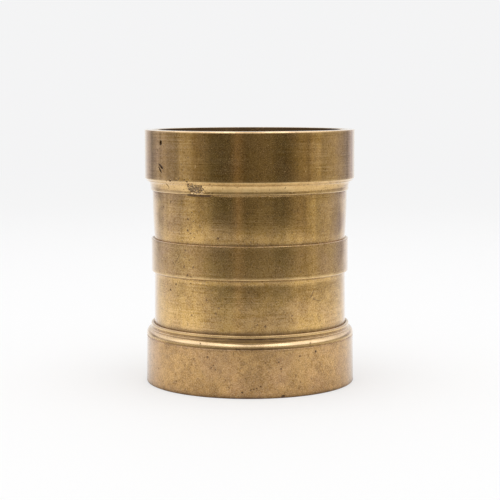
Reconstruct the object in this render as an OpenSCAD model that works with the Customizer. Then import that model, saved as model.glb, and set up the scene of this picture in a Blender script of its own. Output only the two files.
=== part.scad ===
// Standard liquid measure: a turned brass vessel whose bore and depth set its capacity.
// Millimetres, +Z up. The origin is the middle of the foot, on the surface it stands on.
// Every piece is a ring or a disc about the Z axis, so each one is a turned outline.

/* [Capacity] */
// Capacity when filled level with the rim, in millilitres: half an imperial pint
capacity_ml = 284.131; // [280:0.001:290]
// Bore of the barrel
bore_d = 65.2; // [64.8:0.05:66]
// Size of the solder fillet that seals the floor to the wall
solder_fillet = 1.8; // [1:0.1:3]

/* [Rim collar] */
// Overall height, from the foot to the ground rim
height = 90.3; // [90:0.1:94]
// Outer diameter of the collar
collar_d = 75; // [74.6:0.1:77]
// Height of the collar's plain outer band
collar_band_h = 16.95; // [14:0.05:18]
// Height of the whole collar, with the moulding under the band
collar_h = 21.5; // [21:0.1:23]
// Radius of the collar's outer top edge
rim_round = 0.65; // [0.2:0.05:1]
// Wall diameter of the collar's lowest fillet
collar_foot_d = 70.8; // [70.2:0.1:71.2]

/* [Barrel] */
// Outer diameter of the wall just under the collar
wall_top_d = 69.62; // [69:0.02:70]
// Outer diameter of the wall just above the middle band
waist_top_d = 68.4; // [67.6:0.1:68.8]
// Outer diameter of the wall just below the middle band
waist_low_d = 68.38; // [67.6:0.02:68.8]
// Outer diameter of the wall just above the base
wall_low_d = 68.84; // [68.6:0.02:68.88]

/* [Middle band] */
// Outer diameter of the middle band
belt_d = 70.6; // [70.5:0.1:71.4]
// Height of the middle band
belt_h = 11.85; // [8:0.05:13]
// Height of the middle band's lower edge above the foot
belt_z = 39.87; // [36:0.01:42]
// Size of the middle band's broken outer edges
belt_edge = 0.45; // [0.2:0.05:0.5]

/* [Base] */
// Height of the plain foot ring
foot_h = 16.85; // [14:0.05:17]
// Outer diameter of the foot ring at the bottom
foot_d = 74.7; // [74.5:0.1:76]
// Outer diameter of the foot ring at its top edge
foot_top_d = 74.4; // [74.2:0.1:74.8]
// Height of the moulding that stands on the foot ring
moulding_h = 4.55; // [4.5:0.05:5.5]
// Outer diameter of the moulding's half-round bead
bead_d = 74.5; // [74.2:0.1:75]
// Outer diameter of the moulding's top lip
lip_d = 71.2; // [70.8:0.1:71.6]
// Depth of the hollow under the foot
foot_recess = 1.7; // [1:0.1:2.5]
// Diameter of the hollow under the foot
foot_hollow_d = 62; // [56:1:64]

/* [Hidden] */
$fn = 180;
// Straight steps that stand for a curve in a turned outline
arc_steps = 10;
wall_steps = 12;

// Turned seats on the barrel, which the rings are sweated onto
collar_seat_r = 34.1;
belt_seat_r = 34.45;
base_seat_r = 34;

// The V at the root of each ring, where the dark joint line lies
joint_v = 0.3;

// Under the collar: a small chamfer, a listel, the cove and a fillet with a broken edge
collar_under = 0.7;
listel_h = 0.25;
listel_w = 0.25;
collar_fillet_h = 1.1;
collar_fillet_edge = 0.3;

// The wall runs out a little wider for a short way under the middle band
runout_h = 2.3;
runout_w = 0.08;

// The moulding on the foot: lip, scotia neck, ovolo bead and quirk
lip_edge = 0.25;
lip_h = 0.95;
neck_r = 0.35;
bead_w = 1.35;
bead_h = 2.15;
quirk_depth = 0.35;
quirk_half = 0.2;
quirk_slope = 0.25;
foot_edge = 0.4;
hollow_edge = 0.3;

bore_r = bore_d / 2;
collar_r = collar_d / 2;
collar_foot_r = collar_foot_d / 2;
belt_r = belt_d / 2;
lip_r = lip_d / 2;
bead_r = bead_d / 2;
foot_r = foot_d / 2;
foot_top_r = foot_top_d / 2;
collar_z = height - collar_h;
belt_top = belt_z + belt_h;
base_top = foot_h + moulding_h;

// The fillet takes up a ring of the corner: its area, and the radius that its centroid turns on
fillet_area = (1 - PI / 4) * pow(solder_fillet, 2);
fillet_mean_r = bore_r - solder_fillet * (10 - 3 * PI) / (12 - 3 * PI);
fillet_volume = 2 * PI * fillet_mean_r * fillet_area;
// The depth at which the bore holds the capacity, and the height of the floor that follows
depth = (capacity_ml * 1000 + fillet_volume) / (PI * pow(bore_r, 2));
floor_z = height - depth;

// Points along part of an ellipse about [r, z], with half widths rx and rz
function arc(r, z, rx, rz, from, to) =
    [for (i = [0 : arc_steps])
        let (a = from + (to - from) * i / arc_steps)
        [r + rx * cos(a), z + rz * sin(a)]];

// Radius of the wall between the base and the middle band, and between that band and the collar
function low_wall_r(z) =
    let (drop = pow((z - base_top) / (belt_z - base_top), 2),
         up = max(0, z - belt_z + runout_h) / runout_h)
    wall_low_d / 2 - (wall_low_d - waist_low_d) / 2 * drop + runout_w * up * up;
function top_wall_r(z) =
    wall_top_d / 2 - (wall_top_d - waist_top_d) / 2 * pow((collar_z - z) / (collar_z - belt_top), 2);

// A turned piece: its outline in radius and height, swept round the axis
module turned(outline) {
    rotate_extrude()
        polygon(outline);
}

// The tube that forms the bore, with a seat for each ring and its waisted wall between them
module barrel() {
    color("#a9854d")
        turned(concat(
            [[bore_r, floor_z], [base_seat_r, floor_z], [base_seat_r, base_top - joint_v]],
            [for (i = [0 : wall_steps])
                let (low = base_top - joint_v, z = low + (belt_z - low) * i / wall_steps)
                [low_wall_r(z), z]],
            [[belt_seat_r, belt_z], [belt_seat_r, belt_top - joint_v]],
            [for (i = [0 : wall_steps])
                let (low = belt_top - joint_v, z = low + (collar_z - low) * i / wall_steps)
                [top_wall_r(z), z]],
            [[collar_seat_r, collar_z], [collar_seat_r, height], [bore_r, height]]
        ));
}

// The thick rim, ground flat on top, with the cove moulding turned under it
module rim_collar() {
    band_z = height - collar_band_h;
    listel_r = collar_r - collar_under;
    cove_top = band_z - collar_under - listel_h;
    cove_r = listel_r - listel_w;
    cove_z = collar_z + collar_fillet_h;
    color("#92713f")
        turned(concat(
            [[collar_seat_r, collar_z], [collar_foot_r - collar_fillet_edge, collar_z],
             [collar_foot_r, collar_z + collar_fillet_edge]],
            arc(cove_r, cove_z, collar_foot_r - cove_r, cove_top - cove_z, 0, 90),
            [[listel_r, cove_top], [listel_r, cove_top + listel_h], [collar_r, band_z]],
            arc(collar_r - rim_round, height - rim_round, rim_round, rim_round, 0, 90),
            [[collar_seat_r, height]]
        ));
}

// The raised plain band round the waist
module middle_band() {
    color("#9c7c4a")
        turned(concat(
            [[belt_seat_r, belt_z], [belt_r - belt_edge, belt_z], [belt_r, belt_z + belt_edge]],
            arc(belt_r - belt_edge, belt_top - belt_edge, belt_edge, belt_edge, 0, 90),
            [[belt_seat_r + joint_v, belt_top], [belt_seat_r, belt_top - joint_v]]
        ));
}

// The ring of mouldings that stands on the foot ring
module base_moulding() {
    lip_low = base_top - lip_h;
    neck_z = lip_low - neck_r;
    bead_z = foot_h + quirk_half + quirk_slope;
    color("#c7a266")
        turned(concat(
            [[base_seat_r, foot_h], [bead_r - quirk_depth, foot_h],
             [bead_r - quirk_depth, foot_h + quirk_half]],
            arc(bead_r - bead_w, bead_z, bead_w, bead_h, 0, 90),
            arc(lip_r, neck_z, neck_r, neck_r, 270, 90),
            arc(lip_r - lip_edge, base_top - lip_edge, lip_edge, lip_edge, 0, 90),
            [[wall_low_d / 2 + joint_v, base_top], [wall_low_d / 2, base_top - joint_v],
             [base_seat_r, base_top - joint_v]]
        ));
}

// The plain foot, with a ledge inside that carries the bottom plate
module foot_ring() {
    hollow_r = foot_hollow_d / 2;
    color("#b98f5e")
        turned(concat(
            [[hollow_r + hollow_edge, 0]],
            arc(foot_r - foot_edge, foot_edge, foot_edge, foot_edge, 270, 360),
            [[foot_top_r, foot_h - quirk_half - quirk_slope],
             [foot_top_r - quirk_depth, foot_h - quirk_half], [foot_top_r - quirk_depth, foot_h],
             [base_seat_r, foot_h], [base_seat_r, foot_recess], [hollow_r, foot_recess],
             [hollow_r, hollow_edge]]
        ));
}

// The disc that closes the vessel, held between the foot ring's ledge and the barrel's end
module bottom_plate() {
    color("#8c6f44")
        translate([0, 0, foot_recess])
            cylinder(r = base_seat_r, h = floor_z - foot_recess);
}

// The run of solder round the floor, inside, which seals it and leaves no sharp corner
module solder_fillet() {
    color("#96938c")
        turned(concat(
            [[bore_r, floor_z]],
            arc(bore_r - solder_fillet, floor_z + solder_fillet, solder_fillet, solder_fillet, 0, -90)
        ));
}

barrel();
rim_collar();
middle_band();
base_moulding();
foot_ring();
bottom_plate();
solder_fillet();
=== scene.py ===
# %% [markdown]
# # A brass standard measure, dressed for the camera
#
# The solid model of this vessel is already packed: seven turned pieces, with +Z up and the middle of
# the foot at the origin. This lesson turns each of them again as a finer mesh, adds the marks that
# more than a century of use leaves on brass, and lights the result as a plain product photograph.
#
# Sizes are given in millimetres, as a turner would, and `MM` brings them to Blender's metres.
# Angles go round the vessel in degrees from its front, and are positive to the right.

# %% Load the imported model
import math
import random

import bmesh
import bpy
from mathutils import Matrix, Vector


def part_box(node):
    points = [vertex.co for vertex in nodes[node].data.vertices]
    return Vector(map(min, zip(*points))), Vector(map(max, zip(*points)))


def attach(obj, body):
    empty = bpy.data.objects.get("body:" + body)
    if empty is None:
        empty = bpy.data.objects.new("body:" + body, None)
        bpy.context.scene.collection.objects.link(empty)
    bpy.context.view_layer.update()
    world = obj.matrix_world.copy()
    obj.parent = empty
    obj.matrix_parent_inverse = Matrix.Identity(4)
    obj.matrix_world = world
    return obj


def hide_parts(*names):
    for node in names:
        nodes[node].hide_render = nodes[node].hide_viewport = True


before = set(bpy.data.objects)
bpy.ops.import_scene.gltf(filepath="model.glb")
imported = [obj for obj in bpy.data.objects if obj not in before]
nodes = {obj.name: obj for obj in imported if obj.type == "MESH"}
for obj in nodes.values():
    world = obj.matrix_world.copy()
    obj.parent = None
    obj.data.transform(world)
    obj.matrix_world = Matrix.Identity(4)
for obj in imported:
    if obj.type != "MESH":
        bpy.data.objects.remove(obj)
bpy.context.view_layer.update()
bpy.context.scene.view_settings.view_transform = "Standard"
MM = 0.001
print("pieces in the frame:", ", ".join(sorted(nodes)))

# %% [markdown]
# ## Camera
#
# The photograph was taken from a little above the rim with a long lens, so the mouth shows as a
# thin slit and the foot curves more than the top. Three numbers fix such a view: how far away the
# camera is, how high it is, and how far it tips down. They were worked out from how much the rim
# and the foot curve. The lens then follows from how wide the rim looks, and a roll of a tenth of a
# degree from how the axis leans in the picture.

# %% Camera
CAMERA_DISTANCE = 525
CAMERA_HEIGHT = 102.1
CAMERA_ASIDE = 0.17
CAMERA_TIP = math.radians(6.005)
CAMERA_ROLL = math.radians(0.1)
LENS = 105.42

bpy.ops.object.camera_add(
    location=(CAMERA_ASIDE * MM, -CAMERA_DISTANCE * MM, CAMERA_HEIGHT * MM),
    rotation=(math.pi / 2 - CAMERA_TIP, CAMERA_ROLL, 0),
)
camera = bpy.context.object
camera.data.lens = LENS
camera.data.clip_start = 0.01
bpy.context.scene.camera = camera
print("camera at", tuple(round(v, 4) for v in camera.location), "lens", LENS, "mm")

# %% [markdown]
# ## Reading sizes from the frame
#
# The height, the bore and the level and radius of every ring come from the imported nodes. One
# helper gives a node's lowest and highest level, and another the smallest and largest radius that
# its mesh reaches.

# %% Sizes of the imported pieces
def levels(node):
    low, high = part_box(node)
    return low.z / MM, high.z / MM


def radii(node):
    reach = [math.hypot(v.co.x, v.co.y) / MM for v in nodes[node].data.vertices]
    return min(reach), max(reach)


FLOOR_Z, RIM_Z = levels("barrel")
BORE_R = radii("barrel")[0]
COLLAR_LOW = levels("rim_collar")[0]
COLLAR_R = radii("rim_collar")[1]
BELT_LOW, BELT_TOP = levels("middle_band")
BELT_R = radii("middle_band")[1]
FOOT_TOP = levels("foot_ring")[1]
BASE_TOP = levels("base_moulding")[1]
PLATE_LOW = levels("bottom_plate")[0]
for name in sorted(nodes):
    print(name, [round(v, 2) for v in (*levels(name), *radii(name))])

# %% [markdown]
# ## Small helpers
#
# Operators act on whatever is selected, so each step starts from an empty selection. Node trees
# are easier to read when a node, its settings and what is plugged into it stand on one line, which
# the other helpers here allow.

# %% Helpers for selections and nodes
def clear_selection():
    if bpy.context.mode != "OBJECT":
        bpy.ops.object.mode_set(mode="OBJECT")
    bpy.ops.object.select_all(action="DESELECT")


def new_material(name):
    material = bpy.data.materials.new(name)
    material.use_nodes = True
    return material, material.node_tree


def plug(tree, node, values):
    for socket, value in values.items():
        if isinstance(value, bpy.types.NodeSocket):
            tree.links.new(value, node.inputs[socket])
        else:
            node.inputs[socket].default_value = value


def add_node(tree, kind, values=None, **settings):
    node = tree.nodes.new("ShaderNode" + kind)
    for setting, value in settings.items():
        setattr(node, setting, value)
    plug(tree, node, values or {})
    return node


print("helpers ready")

# %% [markdown]
# The same few nodes do most of the work. `calc` and `vector` do a sum on numbers or on places,
# `fade` goes smoothly from one value to another, and `blend` and `mix_shaders` mix two colours or
# two whole shaders by a share.

# %% Helpers for sums and mixes
def calc(tree, operation, *terms):
    return add_node(tree, "Math", dict(enumerate(terms)), operation=operation).outputs[0]


def vector(tree, operation, *terms, **named):
    values = {**dict(enumerate(terms)), **named}
    node = add_node(tree, "VectorMath", values, operation=operation)
    return node.outputs["Value" if operation == "LENGTH" else "Vector"]


def fade(tree, value, start, end, low=0.0, high=1.0):
    limits = {"Value": value, "From Min": start, "From Max": end, "To Min": low, "To Max": high}
    return add_node(tree, "MapRange", limits, interpolation_type="SMOOTHSTEP").outputs["Result"]


def blend(tree, share, first, second):
    node = add_node(tree, "Mix", {"Factor": share, 6: first, 7: second}, data_type="RGBA")
    return node.outputs[2]


def mix_shaders(tree, share, first, second):
    values = {"Fac": share, 1: first.outputs[0], 2: second.outputs[0]}
    return add_node(tree, "MixShader", values).outputs[0]


def object_place(tree):
    return add_node(tree, "TexCoord").outputs["Object"]


def split(tree, place):
    return add_node(tree, "SeparateXYZ", {0: place}).outputs


print("sums and mixes ready")

# %% [markdown]
# ## Floor and background
#
# The photograph has a white table that runs into a white background with no line between them.
# A large round floor and a white world do the same from every side, so the other views are as
# clean as this one. The world is white to the camera and to reflections. To matt surfaces it
# gives a little less, because the lamp adds the rest.

# %% The white world
BACKGROUND_WHITE = (0.905, 0.905, 0.91, 1)
DAYLIGHT = 0.85

world = bpy.data.worlds.new("white studio")
bpy.context.scene.world = world
world.use_nodes = True
sky = world.node_tree
path = add_node(sky, "LightPath").outputs
seen = calc(sky, "MAXIMUM", path["Is Camera Ray"], path["Is Glossy Ray"])
seen = calc(sky, "MAXIMUM", seen, path["Is Transmission Ray"])
backdrop = sky.nodes["Background"]
backdrop.inputs["Color"].default_value = BACKGROUND_WHITE
daylight = add_node(sky, "Background", {"Color": (1, 1, 1, 1), "Strength": DAYLIGHT})
plug(sky, sky.nodes["World Output"], {"Surface": mix_shaders(sky, seen, daylight, backdrop)})
print("white world with daylight of", DAYLIGHT)

# %% [markdown]
# The floor is part paint and part glow to the camera. The paint takes the vessel's shadow, the
# glow keeps it as faint as in the photograph, and far out the floor turns into the background.

# %% The floor
FLOOR_R = 4000
TABLE_WHITE = (0.94, 0.94, 0.94, 1)
TABLE_ROUGH, TABLE_GLOSS = 0.8, 0.1
PAINT_SHARE = 0.48
FADE_FROM, FADE_TO = 300, 1500

clear_selection()
bpy.ops.mesh.primitive_circle_add(vertices=96, radius=FLOOR_R * MM, fill_type="TRIFAN")
table_top = bpy.context.object
table_top.name = "white_table"
table_material, table = new_material("white table")
paint = table.nodes["Principled BSDF"]
looks = {"Base Color": TABLE_WHITE, "Roughness": TABLE_ROUGH, "Specular IOR Level": TABLE_GLOSS}
plug(table, paint, looks)
away = vector(table, "LENGTH", object_place(table))
far = fade(table, away, FADE_FROM * MM, FADE_TO * MM)
glow = add_node(table, "Emission", {"Color": blend(table, far, TABLE_WHITE, BACKGROUND_WHITE)})
to_camera = add_node(table, "LightPath").outputs["Is Camera Ray"]
glow_share = fade(table, far, 0, 1, 1 - PAINT_SHARE, 1)
glow_share = calc(table, "MULTIPLY", glow_share, to_camera)
painted = mix_shaders(table, glow_share, paint, glow)
plug(table, table.nodes["Material Output"], {"Surface": painted})
table_top.data.materials.append(table_material)
print("floor of", FLOOR_R, "mm")

# %% [markdown]
# ## The room that the brass mirrors
#
# Brass shows its surroundings more than its own colour. In the photograph the middle of the vessel
# is dark, because it mirrors the unlit room behind the camera, and it brightens towards both sides,
# where pale walls stand. The round bead shows more: its lower half mirrors a bright strip of
# windows that starts a little above eye level, and its top a dim ceiling.
#
# `ROOM` holds what stands below the windows, by its bearing: each stop says how bright the room is
# there and how warm, from 1 for wood to -1 for daylight. A noise over the bearing breaks the broad
# levels up into the narrow upright stripes that things in a room leave. `WINDOWS` holds the strip
# above. A colour ramp takes no value over 1, so all is divided by `BRIGHTEST` and the glow has
# that strength.

# %% Levels of the room
ROOM = [
    (-156, 0.74, -0.4), (-146, 0.62, -0.4), (-136, 0.47, -0.5), (-130, 0.24, -0.5),
    (-125, 0.42, -0.5), (-115, 0.55, -0.6), (-111.5, 0.38, -0.5), (-108.5, 0.54, -0.6),
    (-97, 0.38, -0.6), (-84, 0.38, -0.5), (-75, 0.47, -0.3), (-67, 0.48, -0.2),
    (-60, 0.27, 0.5), (-50, 0.25, 0.2), (-40, 0.135, 0), (-22, 0.114, 0), (-13, 0.22, 1),
    (-3, 0.135, 0.4), (14, 0.18, 0.4), (36, 0.112, 0.1), (46, 0.17, 0.4), (54, 0.28, 0.4),
    (66, 0.30, 0.5), (76, 0.53, 0), (90, 0.42, -0.2), (102, 0.50, -0.2), (112, 0.46, -0.4),
    (127, 0.41, -0.6), (131.5, 0.26, -0.6), (136, 0.50, -0.6), (146, 0.64, -0.6),
    (156, 0.74, -0.5),
]
WINDOWS = [
    (-150, 0.9), (-104, 1.0), (-86, 1.4), (-60, 1.2), (-38, 1.5), (-24, 2.0), (-8, 1.4),
    (4, 1.2), (20, 1.9), (40, 2.0), (52, 1.3), (80, 1.4), (104, 1.0), (150, 0.9),
]
OLIVE, WOOD, COOL = (1.0, 0.95, 0.78), (1.0, 0.83, 0.64), (1.0, 1.02, 1.45)
SKY_TINT = (1.0, 1.04, 1.3)
BRIGHTEST = 4.2
print("room with", len(ROOM), "levels and windows with", len(WINDOWS))

# %% Helpers for the room
CLUTTER, CLUTTER_DEPTH, CLUTTER_DETAIL, CLUTTER_ROUGH = 9, 0.7, 4, 0.75


def ramp(tree, share, steps):
    node = add_node(tree, "ValToRGB", {"Fac": share})
    stops = node.color_ramp.elements
    for number, (spot, colour) in enumerate(steps):
        stop = stops[number] if number < 2 else stops.new(spot)
        stop.position = spot
        stop.color = (*colour, 1)
    return node.outputs["Color"]


def bearing_of(tree, place):
    x, y, _ = split(tree, place)
    bearing = calc(tree, "ARCTAN2", x, calc(tree, "MULTIPLY", y, -1))
    return calc(tree, "MULTIPLY_ADD", bearing, 0.5 / math.pi, 0.5)


def by_bearing(tree, share, levels):
    steps = [
        ((angle + 180) / 360, [level * part / BRIGHTEST for part in tint])
        for angle, level, tint in levels
    ]
    return ramp(tree, share, steps)


def noise(tree, place, scale, detail, roughness=0.5):
    values = {"Vector": place, "Scale": scale, "Detail": detail, "Roughness": roughness}
    return add_node(tree, "TexNoise", values).outputs["Fac"]


def room_tint(warmth):
    other = WOOD if warmth > 0 else COOL
    return [olive + (part - olive) * abs(warmth) for olive, part in zip(OLIVE, other)]


def room_colour(tree, place):
    share = bearing_of(tree, place)
    levels = [(angle, level, room_tint(warmth)) for angle, level, warmth in ROOM]
    plain = by_bearing(tree, share, levels)
    along = add_node(tree, "CombineXYZ", {"X": calc(tree, "MULTIPLY", share, 360 / CLUTTER)})
    clutter = noise(tree, along.outputs[0], scale=1, detail=CLUTTER_DETAIL, roughness=CLUTTER_ROUGH)
    swing = calc(tree, "MULTIPLY_ADD", clutter, CLUTTER_DEPTH * 2, 1 - CLUTTER_DEPTH)
    return vector(tree, "SCALE", plain, Scale=swing)


print("clutter every", CLUTTER, "degrees")

# %% [markdown]
# A dome shows that room to reflections only, so it can never get in the way of a camera. Up to
# `WINDOWS_FROM` degrees above the table it has the room, then the windows, then the ceiling. The
# windows reach higher at the sides. Straight behind the vessel, within `BACK_TO` degrees, the dome
# is white like the background, except at the very top.

# %% The dome
DOME_R = 900
WINDOWS_FROM, WINDOWS_TO = 12, 35
SIDE_RISE = 0.5
CEILING = (0.34, 0.33, 0.34)
BACK_WHITE = 0.9
BACK_FROM, BACK_TO = 34, 18
TOP_FROM, TOP_TO = 0.93, 0.8
SOFT = 0.05


def dome_colour(tree, place):
    way = vector(tree, "NORMALIZE", place)
    x, _, height = split(tree, way)
    window_levels = [(angle, level, SKY_TINT) for angle, level in WINDOWS]
    windows = by_bearing(tree, bearing_of(tree, place), window_levels)
    sill, head = (math.sin(math.radians(angle)) for angle in (WINDOWS_FROM, WINDOWS_TO))
    above_sill = fade(tree, height, sill - SOFT, sill + SOFT)
    seen = blend(tree, above_sill, room_colour(tree, place), windows)
    rise = calc(tree, "MULTIPLY", calc(tree, "ABSOLUTE", x), SIDE_RISE)
    over = calc(tree, "SUBTRACT", calc(tree, "SUBTRACT", height, rise), head)
    ceiling = (*(part / BRIGHTEST for part in CEILING), 1)
    seen = blend(tree, fade(tree, over, -SOFT, SOFT), seen, ceiling)
    level_way = vector(tree, "NORMALIZE", vector(tree, "MULTIPLY", way, (1, 1, 0)))
    start, end = (math.cos(math.radians(angle)) for angle in (BACK_FROM, BACK_TO))
    behind = fade(tree, split(tree, level_way)["Y"], start, end)
    behind = calc(tree, "MULTIPLY", behind, fade(tree, height, TOP_FROM, TOP_TO))
    white = (*[BACK_WHITE / BRIGHTEST] * 3, 1)
    return blend(tree, behind, seen, white)


def only_in_reflections(thing):
    thing.visible_camera = False
    thing.visible_diffuse = False
    thing.visible_shadow = False
    thing.visible_transmission = False
    thing.visible_volume_scatter = False


clear_selection()
bpy.ops.mesh.primitive_uv_sphere_add(segments=96, ring_count=48, radius=DOME_R * MM)
dome = bpy.context.object
dome.name = "room_dome"
dome_material, room = new_material("room dome")
room.nodes.clear()
room_glow = {"Color": dome_colour(room, object_place(room)), "Strength": BRIGHTEST}
glow = add_node(room, "Emission", room_glow)
add_node(room, "OutputMaterial", {"Surface": glow.outputs[0]})
dome.data.materials.append(dome_material)
only_in_reflections(dome)
print("dome of", DOME_R, "mm")

# %% [markdown]
# The table, too, looks dimmer in the brass the further it lies in front, and past its edge there is
# only the room. A second card lies just above the floor and lays the room's colours over the
# table. `TABLE_DIM` says how much of the table it hides at each distance in front, and that jumps
# at the table's edge, about 300 mm away. Distances and places on the card are in millimetres.
#
# To the sides the table stays bright for longer. A distance to the side counts as its square over
# `LEFT_WIDE` or `RIGHT_WIDE`, and near the vessel the card hides only `SIDE_DIM` of what it
# hides straight in front. `LEAKS` gives the share of the table that shows through again far out
# to the left and to the right, and between which places it comes in. Behind the vessel the card
# fades away.

# %% How much of the table the card hides
TABLE_DIM = [
    (0, 0.22), (30, 0.28), (60, 0.25), (86, 0.28), (157, 0.54), (230, 0.57), (285, 0.60),
    (300, 0.72), (318, 0.88), (335, 0.945), (400, 0.955), (520, 0.97), (700, 0.995),
]
TABLE_END = TABLE_DIM[-1][0]
LEFT_WIDE, RIGHT_WIDE = 450, 300
SIDE_DIM, SIDE_SLANT, FRONT_SLANT = 0.65, 1.6, 0.6
SIDE_DIM_FROM, SIDE_DIM_TO = 330, 200
BEHIND_FROM, BEHIND_TO = 350, 700
LEAKS = [(0.3, -300, -560), (0.04, 200, 480)]
LEAK_FROM, LEAK_TO = 620, 830


def hidden_ahead(tree, aside, forward):
    on_left = calc(tree, "LESS_THAN", aside, 0)
    narrow = calc(tree, "MULTIPLY_ADD", on_left, 1 / LEFT_WIDE - 1 / RIGHT_WIDE, 1 / RIGHT_WIDE)
    squared = calc(tree, "MULTIPLY", calc(tree, "MULTIPLY", aside, aside), 1 / MM)
    sideways = calc(tree, "MULTIPLY", squared, narrow)
    away = add_node(tree, "CombineXYZ", {"X": sideways, "Y": forward}).outputs[0]
    away = vector(tree, "LENGTH", away)
    steps = [(distance / TABLE_END, [share] * 3) for distance, share in TABLE_DIM]
    dim = ramp(tree, calc(tree, "DIVIDE", away, TABLE_END * MM), steps)
    slant = calc(tree, "DIVIDE", calc(tree, "ABSOLUTE", aside), calc(tree, "ADD", forward, MM))
    ahead = fade(tree, slant, SIDE_SLANT, FRONT_SLANT, SIDE_DIM, 1)
    ahead = calc(tree, "MAXIMUM", ahead, fade(tree, away, SIDE_DIM_TO * MM, SIDE_DIM_FROM * MM))
    return calc(tree, "MULTIPLY", dim, ahead)


def hidden_share(tree, place):
    x, y, _ = split(tree, place)
    forward = calc(tree, "MAXIMUM", calc(tree, "MULTIPLY", y, -1), 0)
    hidden = hidden_ahead(tree, x, forward)
    hidden = calc(tree, "MULTIPLY", hidden, fade(tree, y, BEHIND_TO * MM, BEHIND_FROM * MM))
    leak = 0
    for share, start, end in LEAKS:
        leak = calc(tree, "MULTIPLY_ADD", fade(tree, x, start * MM, end * MM), share, leak)
    reach = vector(tree, "LENGTH", place)
    leak = calc(tree, "MULTIPLY", leak, fade(tree, reach, LEAK_TO * MM, LEAK_FROM * MM))
    return calc(tree, "MULTIPLY", hidden, calc(tree, "SUBTRACT", 1, leak))


print("table dimmed in", len(TABLE_DIM), "steps")

# %% The card over the table
CARD_R = 890
CARD_LIFT = 0.4

clear_selection()
bpy.ops.mesh.primitive_circle_add(
    vertices=64, radius=CARD_R * MM, fill_type="TRIFAN", location=(0, 0, CARD_LIFT * MM)
)
table_card = bpy.context.object
table_card.name = "table_in_front"
card_material, card = new_material("table in front")
card.nodes.clear()
place = object_place(card)
clear = add_node(card, "BsdfTransparent")
dark = add_node(card, "Emission", {"Color": room_colour(card, place), "Strength": BRIGHTEST})
mixed = mix_shaders(card, hidden_share(card, place), clear, dark)
add_node(card, "OutputMaterial", {"Surface": mixed})
table_card.data.materials.append(card_material)
only_in_reflections(table_card)
print("card of", CARD_R, "mm over the table")

# %% [markdown]
# ## The lamp
#
# One wide soft lamp hangs above and a little in front. Its work is the faint shadow under the
# vessel. The brass doesn't mirror it, because the dome already holds every light that it shows.

# %% Overhead lamp
LAMP_PLACE = (0, -140, 1100)
LAMP_SIZE = (1100, 800)
LAMP_POWER = 4.1

clear_selection()
bpy.ops.object.light_add(type="AREA", location=[part * MM for part in LAMP_PLACE])
lamp = bpy.context.object
lamp.name = "overhead_softbox"
lamp.data.shape = "RECTANGLE"
lamp.data.size, lamp.data.size_y = [side * MM for side in LAMP_SIZE]
lamp.data.energy = LAMP_POWER
lamp.visible_glossy = False
print("lamp", LAMP_POWER, "W")

# %% [markdown]
# ## Turning a piece
#
# Every ring of this vessel was cast and then turned in a lathe: the work goes round, and the tool
# follows an outline. In Blender a turned piece could start from a cylinder that is cut and scaled
# ring by ring, or its outline could be spun in edit mode, which is slow for a fine mesh. Here the
# outline is drawn point by point in edit mode and a Screw modifier, the lathe of Blender, sweeps it
# round. The outline stays readable as plain pairs of radius and height.
#
# `bow` gives a round stretch, `softened` breaks every sharp corner a little, as wear and polish
# have done, and `divided` adds points: the outer skin gets an even, fine mesh, and what is hidden
# or inside a coarser one.

# %% Helpers for outlines
SHARP = math.radians(18)
MOST_CUT = 0.4
OUTER_STEP = 0.8
HIDDEN_STEP = 3.0


def bow(centre_r, centre_z, half_r, half_z, start, end, parts=8):
    points = []
    for part in range(parts + 1):
        angle = math.radians(start + (end - start) * part / parts)
        points.append((centre_r + half_r * math.cos(angle), centre_z + half_z * math.sin(angle)))
    return points


def softened(outline, size, closed=True):
    soft = []
    last = len(outline) - 1
    for number, point in enumerate(outline):
        corner = Vector(point)
        arriving = corner - Vector(outline[number - 1])
        leaving = Vector(outline[(number + 1) % len(outline)]) - corner
        line_end = not closed and number in (0, last)
        if line_end or arriving.angle(leaving) < SHARP:
            soft.append(corner)
            continue
        cut = min(size, MOST_CUT * arriving.length, MOST_CUT * leaving.length)
        start = corner - cut * arriving.normalized()
        end = corner + cut * leaving.normalized()
        for share in (0, 1 / 3, 2 / 3, 1):
            soft.append(start.lerp(corner, share).lerp(corner.lerp(end, share), share))
    return soft


def divided(outline, outer_from, closed=True, step=OUTER_STEP):
    line = [Vector(outline[0])]
    ends = list(outline[1:]) + ([outline[0]] if closed else [])
    for point in ends:
        before, after = line[-1].copy(), Vector(point)
        outer = min(before.x, after.x) >= outer_from
        parts = math.ceil((after - before).length / (step if outer else HIDDEN_STEP))
        for part in range(1, parts + 1):
            line.append(before.lerp(after, part / parts))
    return line[:-1] if closed else line


print("outline helpers ready")

# %% [markdown]
# One vertex is put at the outline's first point and extruded from point to point. A ring's outline
# is closed by an edge from its last point to its first, while a disc's outline begins and ends on
# the axis. The modifier sweeps it in steps of one degree, so the facets are too small to see, and
# the doubled vertices at the start and on the axis are merged.

# %% The lathe
TURN_STEPS = 360
SMOOTH_BELOW = math.radians(40)
MERGE_BELOW = 0.002


def draw(name, outline, closed):
    clear_selection()
    start = outline[0]
    bpy.ops.mesh.primitive_plane_add(size=MM, location=(start[0] * MM, 0, start[1] * MM))
    piece = bpy.context.object
    piece.name = name
    piece.data.name = name
    bpy.ops.object.transform_apply(location=True, rotation=True, scale=True)
    bpy.ops.object.mode_set(mode="EDIT")
    bpy.ops.mesh.select_all(action="SELECT")
    bpy.ops.mesh.merge(type="CENTER")
    for before, after in zip(outline, outline[1:]):
        move = ((after[0] - before[0]) * MM, 0, (after[1] - before[1]) * MM)
        bpy.ops.mesh.extrude_vertices_move(TRANSFORM_OT_translate={"value": move})
    if closed:
        mesh = bmesh.from_edit_mesh(piece.data)
        mesh.verts.ensure_lookup_table()
        mesh.verts[0].select = True
        mesh.select_flush(True)
        bmesh.update_edit_mesh(piece.data)
        bpy.ops.mesh.edge_face_add()
    bpy.ops.object.mode_set(mode="OBJECT")
    return piece


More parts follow.
